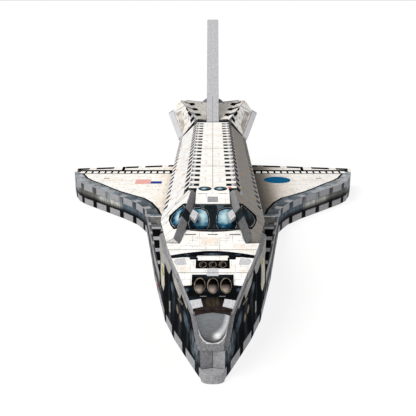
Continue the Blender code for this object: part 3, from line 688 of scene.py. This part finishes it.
thrusters = {"rows": [-8.2, 0.0, 8.2], "y": 33.3, "across": 3.6, "along": 6.0, "rim": 0.62}
forwardPrint = {
    "white": [(13.2, 50.0), (13.2, 33.6), (18.4, 33.0), (30.0, 33.0), (30.0, 50.0)],
    "whiteTop": box(-13.3, 41.6, 13.3, 50.0),
    "square": [(14.7, 22.2), (7.3, 23.5), (5.9, 18.1), (13.2, 16.1)],
    "middle": box(-3.7, 40.5, 3.7, 50.0), "glow": box(-6.6, 16.0, 6.6, 24.5),
    "band": [(-13.2, 15.4), (-9.4, 17.1), (-5.1, 18.1), (0.0, 18.4), (5.1, 18.1), (9.4, 17.1), (13.2, 15.4), (13.2, 10.0),
             (-13.2, 10.0)],
}
forward = bothSides([("whiteDeck", forwardPrint["white"])])
forward += [("whiteDeck", forwardPrint["whiteTop"]), ("brownGlow", forwardPrint["glow"])]
forward += bothSides([("foamPale", forwardPrint["square"]), ("softLine", box(3.9, 25.2, 7.9, 25.5)),
                      ("blueGrey", box(14.6, 28.5, 17.0, 31.5)), ("softLine", box(13.9, 33.8, 14.1, 40.0))])
for x in thrusters["rows"]:
    ring = (thrusters["across"], thrusters["along"])
    hole = (ring[0] - thrusters["rim"], ring[1] - thrusters["rim"] * 1.5)
    forward += [("line", oval(x, thrusters["y"], ring[0] + 0.35, ring[1] + 0.5)), ("beige", oval(x, thrusters["y"], *ring)),
                ("line", oval(x + 0.22, thrusters["y"] - 0.1, hole[0] + 0.15, hole[1] + 0.25)),
                ("barrel", oval(x + 0.22, thrusters["y"] - 0.2, *hole))]
forward += [("foamPale", forwardPrint["middle"])]
dressBoard("forward_deck_panel", "black", deckUp, forward, edge=deckEdge, wrap=[("brown", forwardPrint["band"])])

middlePrint = {
    "module": [(11.0, 58.1), (9.7, 58.1), (9.7, 55.1), (-9.7, 55.1), (-9.7, 58.1), (-11.0, 58.1), (-11.0, 47.0), (11.0, 47.0)],
    "arc": [(-27.5, 57.0), (-19.5, 58.1), (-15.3, 58.1), (-14.8, 55.9), (-11.1, 55.9), (-10.7, 58.0), (-10.0, 59.8), (10.0, 59.8),
            (10.7, 58.0), (11.1, 55.9), (14.8, 55.9), (15.3, 58.1), (19.5, 58.1), (27.5, 57.0), (32.0, 59.3), (26.8, 60.5),
            (20.7, 62.0), (13.1, 63.5), (5.6, 64.6), (0.0, 64.8), (-5.6, 64.6), (-13.1, 63.5), (-20.7, 62.0), (-26.8, 60.5),
            (-32.0, 59.3)],
    "square": [(25.4, 53.5), (24.6, 56.2), (18.1, 57.6), (16.7, 50.9), (23.0, 50.1)],
    "ports": {"rows": [-6.4, 0.0, 6.4], "y": 50.9, "across": 2.5, "along": 3.1},
}
middle = [("warmTile", box(-21.0, 43.0, -14.0, 48.5)), ("warmTile", box(16.0, 43.0, 22.0, 46.0)), ("black", middlePrint["arc"]), ("blueGrey", box(-6.5, 60.6, 5.5, 62.4)), ("line", middlePrint["module"])]
middle += bothSides([("foamPale", middlePrint["square"]), ("blueGrey", box(14.5, 60.3, 19.0, 61.2)),
                     ("softLine", box(12.2, 49.5, 12.4, 55.0)), ("softLine", box(14.3, 44.0, 14.5, 51.0))])
ports = middlePrint["ports"]
for x in ports["rows"]:
    middle += [("beige", oval(x, ports["y"], ports["across"], ports["along"])),
               ("line", oval(x, ports["y"], ports["across"] * 0.82, ports["along"] * 0.82)),
               ("bronze", oval(x - 0.3, ports["y"] + 0.2, ports["across"] * 0.55, ports["along"] * 0.55)),
               ("line", oval(x + 0.2, ports["y"], ports["across"] * 0.5, ports["along"] * 0.5))]
middle += [("foamPale", box(-3.7, 40.0, 3.7, 47.3))]
dressBoard("mid_deck_panel", "whiteDeck", deckUp, middle, edge=deckEdge)

rearPrint = {"dashes": [(-19.2, -11.5), (-3.5, 3.5), (11.5, 19.2)], "y": 82.2, "thick": 0.9, "arc": middlePrint["arc"],
             "sill": [(-17.0, 89.0), (-16.0, 86.4), (-9.0, 85.4), (0.0, 84.9), (9.0, 85.4), (16.0, 86.4), (17.0, 89.0)]}
rear = [("black", rearPrint["arc"]), ("line", rearPrint["sill"])]
rear += [("line", box(a, rearPrint["y"] - rearPrint["thick"] / 2, b, rearPrint["y"] + rearPrint["thick"] / 2))
         for a, b in rearPrint["dashes"]]
rear += [("warmTile", box(-8.0, 70.5, 4.0, 79.0)), ("warmTile", box(13.0, 67.5, 22.0, 72.5))]
rear += bothSides([("softLine", box(9.0, 79.5, 9.25, 83.0)), ("softLine", box(4.5, 66.0, 4.7, 75.0)),
                   ("softLine", box(3.5, 78.2, 12.5, 78.5)), ("softLine", box(13.5, 74.0, 13.7, 81.0))])
dressBoard("rear_deck_panel", "whiteDeck", deckUp, rear, edge=deckEdge)

shieldPrint = {
    "window": [(12.5, 99.5), (9.9, 99.7), (6.8, 99.1), (4.5, 98.0), (3.5, 95.8), (3.0, 92.8), (3.2, 89.9), (4.5, 88.1),
               (7.9, 87.4), (12.3, 87.4), (15.4, 88.5), (16.3, 90.6), (15.5, 94.6), (14.6, 97.9)],
}
pane = grown(shieldPrint["window"], -0.3)
shield = bothSides([("line", grown(shieldPrint["window"], 1.2)), ("rim", grown(shieldPrint["window"], 0.85)),
                    ("line", grown(shieldPrint["window"], 0.45))])
shield += [("glassLeft", pane), ("glassRight", flipped(pane)), ("line", box(-17.5, 80.0, 17.5, 87.9))]
dressBoard("windshield_panel", "blackTeal", (0.0, -0.68, 0.74), shield, edge=deckEdge)

browPrint = {"window": oval(5.7, 119.2, 4.9, 2.3), "square": box(-3.8, 104.6, 3.8, 110.6), "dash": box(4.2, 113.6, 10.6, 114.2)}
brow = bothSides([("line", browPrint["window"]), ("glass", oval(5.7, 119.2, 3.8, 1.1)), ("softLine", browPrint["dash"])])
brow += [("foam", browPrint["square"]), ("line", box(-13.0, 101.0, 13.0, 102.9))]
dressBoard("brow_panel", "whiteDeck", deckUp, brow, edge=deckEdge)

print("cabin and nose walls")
cabinPrint = {
    "surround": [(18.0, 99.9), (21.1, 103.5), (25.1, 103.2), (30.9, 101.7), (31.3, 97.1), (29.3, 88.5), (26.6, 81.2), (23.9, 78.7),
                 (22.0, 80.0), (18.0, 93.3)],
    "glass": [(21.0, 101.0), (22.2, 100.3), (25.0, 100.1), (28.3, 98.5), (29.4, 95.5), (29.0, 92.2), (27.4, 86.9), (25.4, 82.5),
              (24.1, 82.3), (22.6, 86.6), (20.7, 94.0), (20.2, 98.5)],
    "lines": [[(17.0, 112.4), (26.4, 108.0)], [(29.3, 106.6), (34.7, 105.2)]],
    "post": [(12.0, 91.9), (24.0, 88.9), (23.0, 95.0), (12.0, 97.6)],
    "shade": [(12.0, 60.0), (26.2, 60.0), (26.2, 76.0), (23.6, 82.5), (21.0, 95.0), (12.0, 98.5)],
}
wallPrint = {  # run from the nose tip, height
    "upper": [(98.6, 42.9), (100.9, 23.8), (97.2, 19.9), (83.6, 21.5), (77.8, 28.9), (78.0, 35.6), (77.7, 41.8), (76.0, 47.0),
              (72.1, 45.7), (66.7, 43.6), (62.5, 44.0), (59.5, 47.5), (56.3, 53.8), (54.0, 52.7), (54.5, 46.8), (50.7, 42.8),
              (46.0, 40.1), (39.5, 36.5), (38.6, 38.7), (37.0, 41.6), (32.8, 39.4), (27.1, 35.8), (26.5, 40.5), (25.6, 42.3),
              (23.4, 40.7), (20.6, 38.7), (20.0, 80.0), (106.0, 80.0), (106.0, 42.9)],
    "pale": [(96.4, 38.4), (79.3, 43.3), (78.3, 35.5), (78.6, 29.2), (83.5, 22.4), (94.2, 22.4), (97.6, 26.8)],
    "yellow": [(90.6, 38.5), (84.8, 39.5), (78.8, 36.0), (86.5, 31.4), (89.6, 34.3)],
    "paleLeft": [(80.8, 47.2), (92.1, 43.3), (101.1, 31.6), (102.5, 19.8), (87.8, 19.5), (78.3, 26.3), (86.4, 28.7), (80.7, 39.0)],
    "yellowLeft": [(79.2, 47.1), (86.8, 44.7), (88.9, 40.8), (83.8, 41.4)],
    "marks": [[(65.7, 22.5), (61.9, 24.4), (62.7, 14.9), (65.8, 14.9)]],
    "bronze": [[(47.5, 30.1), (43.0, 30.1), (42.3, 25.5), (44.7, 23.5), (47.3, 26.5)],
               [(41.8, 27.2), (38.0, 27.0), (36.7, 22.7), (39.1, 20.0), (41.6, 23.7)],
               [(43.3, 36.4), (32.9, 36.6), (35.8, 34.1), (45.3, 34.0)]],
    "blue": [[(60.2, 39.2), (54.5, 42.5), (51.0, 37.7), (52.7, 31.8), (57.9, 33.7)],
             [(34.9, 32.8), (30.4, 33.1), (22.6, 27.4), (22.0, 20.9), (26.4, 19.8), (32.5, 25.7)]],
    "front": [(22.7, 26.7), (16.7, 27.3), (5.0, 21.0), (3.7, 7.6), (13.1, 7.9), (19.7, 10.3), (23.0, 16.8)],
}
noseInk = [("greyPrint", wallPrint["upper"])]
noseInk += [("softLine", outline) for outline in wallPrint["marks"]]
noseInk += [("bronze", outline) for outline in wallPrint["bronze"]]
noseInk += [("blueGrey", outline) for outline in wallPrint["blue"]]
noseInk += [("nearFront", wallPrint["front"])]
for side, tag in sides:
    # the +X cabin window takes the darkened window print as painted shade
    glass = "glassDim" if side > 0 else "glass"
    cabin = [("line", cabinPrint["surround"]), ("rim", grown(cabinPrint["glass"], 0.5)), (glass, cabinPrint["glass"])]
    cabin += [("softLine", band(path, 0.5)) for path in cabinPrint["lines"]]
    # the +X cabin side takes the slope print darkened as painted shade
    slope = "shadedSlopeLeft" if side > 0 else "whiteSlopeRight"
    dressBoard("cabin_side_" + tag, slope, (side * 0.56, -0.25, 0.79), cabin, "plan", side, 0.9,
               # the cabin's front end face: the +X one takes the darkened slope print as painted shade, the -X one the
               # brighter hinge-tile ink as painted light
               ends=[(slope if side > 0 else "tile", (0.0, -1.0, -0.3))], foam="foamNear",
               # on the +X side a very dark foam copy is wrapped over the shade region as painted shade
               wrap=[("foamDim", cabinPrint["shade"])] * (side > 0) + [("postPrint", cabinPrint["post"])])
    # the windshield tabs take the lighter foam copy as painted light
    dressBoard("windshield_tab_" + tag, "foamPale", (0, 0, 1), [], "plan", side, -2.0)
    pale, yellow = ("paleLeft", "yellowLeft") if side > 0 else ("pale", "yellow")
    marks = [("cream", wallPrint[pale]), ("yellow", wallPrint[yellow])]
    # the -X nose wall's foam takes the darker foam copy as painted shade
    dressBoard("nose_wall_" + tag, "blackWall", (side, -0.35, 0), noseInk + marks, "wall", side, 0.8, foam="foam" if side > 0 else "foamNear")

print("cargo bay")
bayPrint = {"seam": box(-0.25, 123.0, 0.25, 384.0), "cross": [185.5, 251.7], "window": oval(5.7, 119.0, 4.9, 5.0),
            "ticks": [(22.5, 138.8), (32.6, 141.0), (23.2, 228.7), (32.4, 228.6), (32.6, 272.2), (24.0, 277.3), (24.5, 185.0),
                      (33.0, 330.0)], "tick": 2.6}
roof = [("softLine", bayPrint["seam"])]
for y in bayPrint["cross"]:
    roof += [("softLine", box(-10.0, y - 0.5, 10.0, y + 0.5)), ("softLine", box(-3.0, y - 0.9, -1.4, y + 0.9)),
             ("softLine", box(1.4, y - 0.9, 3.0, y + 0.9))]
roof += bothSides([("line", bayPrint["window"]), ("glass", oval(5.7, 119.0, 3.8, 3.4))])
roof += [("red", [(10.6, 121.6), (12.4, 124.0), (14.4, 121.6), (12.4, 120.3)])]
bayTabs = {"x": 15.85, "first": 129.00, "pitch": 13.7, "count": 19, "top": 85.4, "size": (3.6, 6.4, 3.0)}
# foam faces turned along the run take the slot ink as painted shade
slotShadeEnds = [("slot", (0, 1, 0)), ("slot", (0, -1, 0))]
boxes = boxRow()
sidePrint = {"door": (120.0, 385.0), "top": 62.5, "low": 44.0, "joints": [120.0, 186.0, 252.0, 318.0, 385.0], "line": 0.7,
             "vents": [138.0, 160.0, 205.0, 275.0, 298.0, 352.0], "band": 12.5, "hatch": (112.0, 52.0, 7.5)}
doors = [("softLine", box(sidePrint["door"][0], z, sidePrint["door"][1], z + sidePrint["line"])) for z in (sidePrint["top"], sidePrint["low"])]
doors += [("softLine", box(y, sidePrint["low"], y + sidePrint["line"], 67.0)) for y in sidePrint["joints"]]
doors += [("line", box(y, 54.0, y + 5.0, 55.6)) for y in sidePrint["vents"]]
doors += [("black", box(90.0, 0.0, 470.0, sidePrint["band"])), ("orange", box(228.0, 57.5, 234.0, 58.3))]
y, z, radius = sidePrint["hatch"]
hatch = [("softLine", oval(y, z, radius, radius)), ("whiteSide", oval(y, z, radius - 0.7, radius - 0.7)), ("rim", oval(y, z, 2.2, 2.2)),
         ("line", oval(y, z, 1.7, 1.7))]
dressBoard("bay_roof_panel", "whiteRoof", (0, 0, 1), roof, edge=0.2, ends=slotShadeEnds)
for side, tag in sides:
    # the +X bay slope takes the slope print darkened as painted shade
    slope = "shadedSlopeLeft" if side > 0 else "whiteSlopeRight"
    ticks = [("orange", band([(x - 1.2, y - bayPrint["tick"]), (x + 1.2, y + bayPrint["tick"])], 1.3)) for x, y in bayPrint["ticks"]]
    dressBoard("bay_side_panel_" + tag, slope, (side * 0.71, 0, 0.7), ticks, "plan", side, 0.9, 0.2, slotShadeEnds)
    dressBoard("side_wall_" + tag, "whiteSide", (side, 0, 0), doors + (hatch if side > 0 else []), "wall", side, ends=slotShadeEnds)
    grow("bayTabs_" + tag, boxes, {"Start": place(bayTabs["x"] * side, bayTabs["first"], bayTabs["top"]), "Paint": paints["foamLitFin"],
                                   "Step": size(0.0, bayTabs["pitch"], 0.0), "Count": bayTabs["count"], "Size": size(*bayTabs["size"])})

print("wings")
wingPrint = {
    "line": [(152.5, 399.0), (149.0, 391.0), (143.8, 378.8), (136.1, 368.2), (123.9, 354.9), (112.0, 340.1), (99.1, 325.5),
             (84.1, 311.9), (71.1, 300.9), (62.0, 285.8), (54.1, 265.3), (50.8, 252.0), (47.5, 226.1)],
    "hinge": box(38.0, 398.5, 161.5, 415.5), "hingeLine": 410.5,
    "split": [(105.5, 410.9), (109.1, 410.9), (110.5, 445.0), (107.0, 445.0)],
    "dashes": [(37, 54.6), (62, 82.6), (90.5, 106), (119.8, 140.9), (148.9, 163)], "dashDeep": 8.0, "trail": [(37.5, 442.2), (167.0, 422.5)],
    "inner": 38.5, "outer": [(39.0, 104.0), (54.4, 207.2), (59.6, 246.0)],
    "strake": [("line", 104.0, 127.5), ("foam", 127.5, 134.5), ("line", 134.5, 153.4), ("foam", 153.4, 161.1), ("line", 161.1, 179.6),
               ("foam", 179.6, 188.1), ("line", 188.1, 207.2), ("foam", 207.2, 213.8), ("line", 213.8, 216.5), ("foamNear", 216.5, 219.0),
               ("line", 219.0, 220.2), ("shadePrint", 220.2, 241.0), ("foamPale", 241.0, 244.0), ("edgeBlue", 244.0, 249.0)],
    "patch": {"x": (57.0, 86.9), "y": (355.5, 372.5), "block": 69.5},
    "badge": (73.2, 371.0, 15.2, 14.0), "mark": [(135.9, 5.4), (123.2, 10.4), (119.6, 6.9), (129.0, 2.6)],
}
hingeTiles = {"first": 54.0, "pitch": 7.7, "count": 14, "y": 404.8, "top": 23.62, "size": (5.4, 8.2, 0.06)}


def strakePart(low, high):
    # The part of the strake's top between two places along it, inside its foam rim.
    edges = []
    for y in (low, high):
        (x0, y0), (x1, y1) = wingPrint["outer"][:2] if y <= wingPrint["outer"][1][1] else wingPrint["outer"][1:]
        edges.append((x0 + (x1 - x0) * (y - y0) / (y1 - y0), y))
    return [(wingPrint["inner"], low), edges[0], edges[1], (wingPrint["inner"], high)]


def alongTrail(x, inset):
    (x0, y0), (x1, y1) = wingPrint["trail"]
    return (x, y0 + (y1 - y0) * (x - x0) / (x1 - x0) - inset)


for side, tag in sides:
    outer = wingPrint["line"] + [(30.0, 226.1), (30.0, 90.0), (180.0, 90.0), (180.0, 399.0)]
    wing = [("wingStrip", outer), ("line", band(wingPrint["line"], 2.4))]
    strake = [(key, strakePart(low, high)) for key, low, high in wingPrint["strake"]]
    wing += [("line", wingPrint["hinge"]), ("line", wingPrint["split"]), ("softLine", box(118.0, 375.5, 124.5, 379.0))]
    wing += [("line", [alongTrail(a, -2.0), alongTrail(b, -2.0), alongTrail(b, wingPrint["dashDeep"]), alongTrail(a, wingPrint["dashDeep"])])
             for a, b in wingPrint["dashes"]]
    if side > 0:
        wing += [("ovalBlue", oval(*wingPrint["badge"]))]
    else:
        patch = wingPrint["patch"]
        step = (patch["y"][1] - patch["y"][0]) / 7.0
        for i in range(7):
            low = patch["y"][0] + i * step
            wing += [("stripePale" if i % 2 else "stripeRed", box(patch["x"][0], low, patch["x"][1], low + step))]
        wing += [("blockBlue", box(patch["x"][0], patch["y"][0], patch["block"], patch["y"][1] - 3.0 * step)),
                 ("whiteWingRight", box(patch["x"][0] - 1.0, patch["y"][1] - 3.0 * step, patch["block"], patch["y"][1] + 1.0))]
    # the +X wing takes the print with the painted fuselage shadow at its root
    dressBoard("wing_top_" + tag, "shadowedWingLeft" if side > 0 else "whiteWingRight", (0, 0, 1), wing, "plan", side, wrap=strake)
    dressBoard("wing_edge_wall_" + tag, "edge", [(side, -0.15, 0), (side, -1, 0), (side * 0.3, -1, 0)],
               [] if side > 0 else [("darkRed", wingPrint["mark"])], "wall", side, 0.85,
               wrap=strake)
    grow("hingeTiles_" + tag, boxes, {"Start": place(hingeTiles["first"] * side, hingeTiles["y"], hingeTiles["top"]), "Paint": paints["tile"],
                                      "Step": size(hingeTiles["pitch"] * side, 0.0, 0.0), "Count": hingeTiles["count"],
                                      "Size": size(*hingeTiles["size"])})
    dressBoard("wing_trailing_wall_" + tag, "black", (0, 1, 0), [], "back")

print("pods and tail")
podPrint = {
    "topFront": box(7.5, 388.0, 17.0, 391.2),
    # notch outlines, grown and wrapped in black ink over card and foam as painted shade
    "topNotchShade": [[(28.5, 455.6), (24.3, 458.4), (21.6, 449.1), (25.7, 444.7)], [(24.4, 434.3), (19.7, 434.9), (17.5, 426.9), (22.2, 425.0)],
                   [(20.1, 413.3), (15.5, 413.9), (13.6, 405.8), (17.8, 403.3)]],
    "slopeNotchShade": [[(31.4, 434.3), (29.1, 432.4), (26.8, 423.8), (29.3, 424.6)], [(27.8, 417.4), (24.8, 414.8), (22.8, 406.5), (25.2, 406.8)]],
    "corner": [(22.8, 396.2), (19.6, 394.2), (14.0, 383.1), (19.4, 384.6)],
    "tab": [(60.0, 473.0), (43.9, 455.0), (44.4, 450.3), (46.6, 441.0), (56.0, 441.0)],
    "stain": [(45.0, 451.7), (39.1, 443.4), (32.2, 405.2), (34.8, 396.8)],
    "tabLine": [(46.6, 457.5), (30.9, 438.8)],
}
finPrint = {"leading": [(380.0, 88.0), (491.0, 200.0), (500.0, 200.0), (390.0, 84.0)], "rudder": [[(462.0, 103.0), (508.0, 194.0)]],
            "joint": [[(484.0, 146.0), (507.0, 146.0)]]}
for side, tag in sides:
    slope = "shadedSlopeLeft" if side > 0 else "whiteSlopeRight"
    # the +X pod top takes the brighter print as painted light
    dressBoard("pod_top_" + tag, "paintedLightPodTop" if side > 0 else "podTop", (-0.1 * side, -0.12, 0.98), [("line", podPrint["topFront"])], "plan", side, ends=slotShadeEnds,
               # painted shade in the pod top's notches
               wrap=[("line", grown(notch, 0.8)) for notch in podPrint["topNotchShade"]])
    slopePrints = [("podStain", podPrint["stain"]), ("softLine", band(podPrint["tabLine"], 0.8)), ("foamPale", podPrint["tab"])]
    # the +X pod slope takes the brighter pod print as painted light
    dressBoard("pod_slope_" + tag, "paintedLightPodSlope" if side > 0 else "whitePod", (side * 0.65, -0.2, 0.72), slopePrints, "plan", side,
               ends=slotShadeEnds, foam="foamLitFin",
               # painted shade in the pod slope's notches
               wrap=[("line", grown(notch, 0.8)) for notch in podPrint["slopeNotchShade"]] + [("foam", podPrint["corner"])])
    dressBoard("pod_side_" + tag, "whiteSide", (side * 0.86, -0.07, -0.5), [], "wall", side, foam="foamPale")
    fin = [("black", finPrint["leading"])] + [("line", band(path, 0.9)) for path in finPrint["rudder"] + finPrint["joint"]]
    # the fin's foam takes a lighter foam copy as painted light
    dressBoard("fin_layer_" + tag, "whiteSide", (side, 0, 0), fin, "wall", side, foam="foamLitFin")

bells = {  # each bell: across, up, throat radius, mouth radius, length, and its ribs
    "main_engine_upper": {"x": 0.0, "z": 83.0, "throat": 10.0, "mouth": 17.5, "long": 18.0, "ribs": 6},
    "main_engine_lower_left": {"x": 19.2, "z": 46.6, "throat": 10.0, "mouth": 17.0, "long": 18.0, "ribs": 6},
    "main_engine_lower_right": {"x": -19.2, "z": 46.6, "throat": 10.0, "mouth": 17.0, "long": 18.0, "ribs": 6},
    "pod_nozzle_left": {"x": 33.0, "z": 84.0, "throat": 5.0, "mouth": 8.0, "long": 12.0, "ribs": 4},
    "pod_nozzle_right": {"x": -33.0, "z": 84.0, "throat": 5.0, "mouth": 8.0, "long": 12.0, "ribs": 4},
}
bellStart, ribThick = 472.4, 0.45
rings = ringRow()
shields = []
for name, bell in bells.items():
    dressBoard(name, "steel", (0, 0, 1), [], "wall", 1, -2.0)
    pitch = bell["long"] / (bell["ribs"] + 0.4)
    growth = (bell["mouth"] - bell["throat"]) * pitch / bell["long"] / bell["throat"]
    grow(name + "Ribs", rings, {"Start": place(bell["x"], bellStart + pitch * 0.6, bell["z"]), "Step": size(0.0, pitch, 0.0),
                                "Count": bell["ribs"], "Radius": (bell["throat"] + growth * bell["throat"] * 0.6) * mm, "Growth": growth,
                                "Thickness": ribThick * mm, "Paint": paints["rib"]})
    shields += [("rim", oval(bell["x"], bell["z"], bell["throat"] * 1.62, bell["throat"] * 1.62)),
                ("brown", oval(bell["x"], bell["z"], bell["throat"] * 1.55, bell["throat"] * 1.55))]
dressBoard("aft_bulkhead", "black", (0, 1, 0), shields, "back")
dressBoard("body_flap", "belly", [(0, 0, 1), (0, 0, -1)])
dressBoard("belly_panel", "belly", (0, 0, -1))
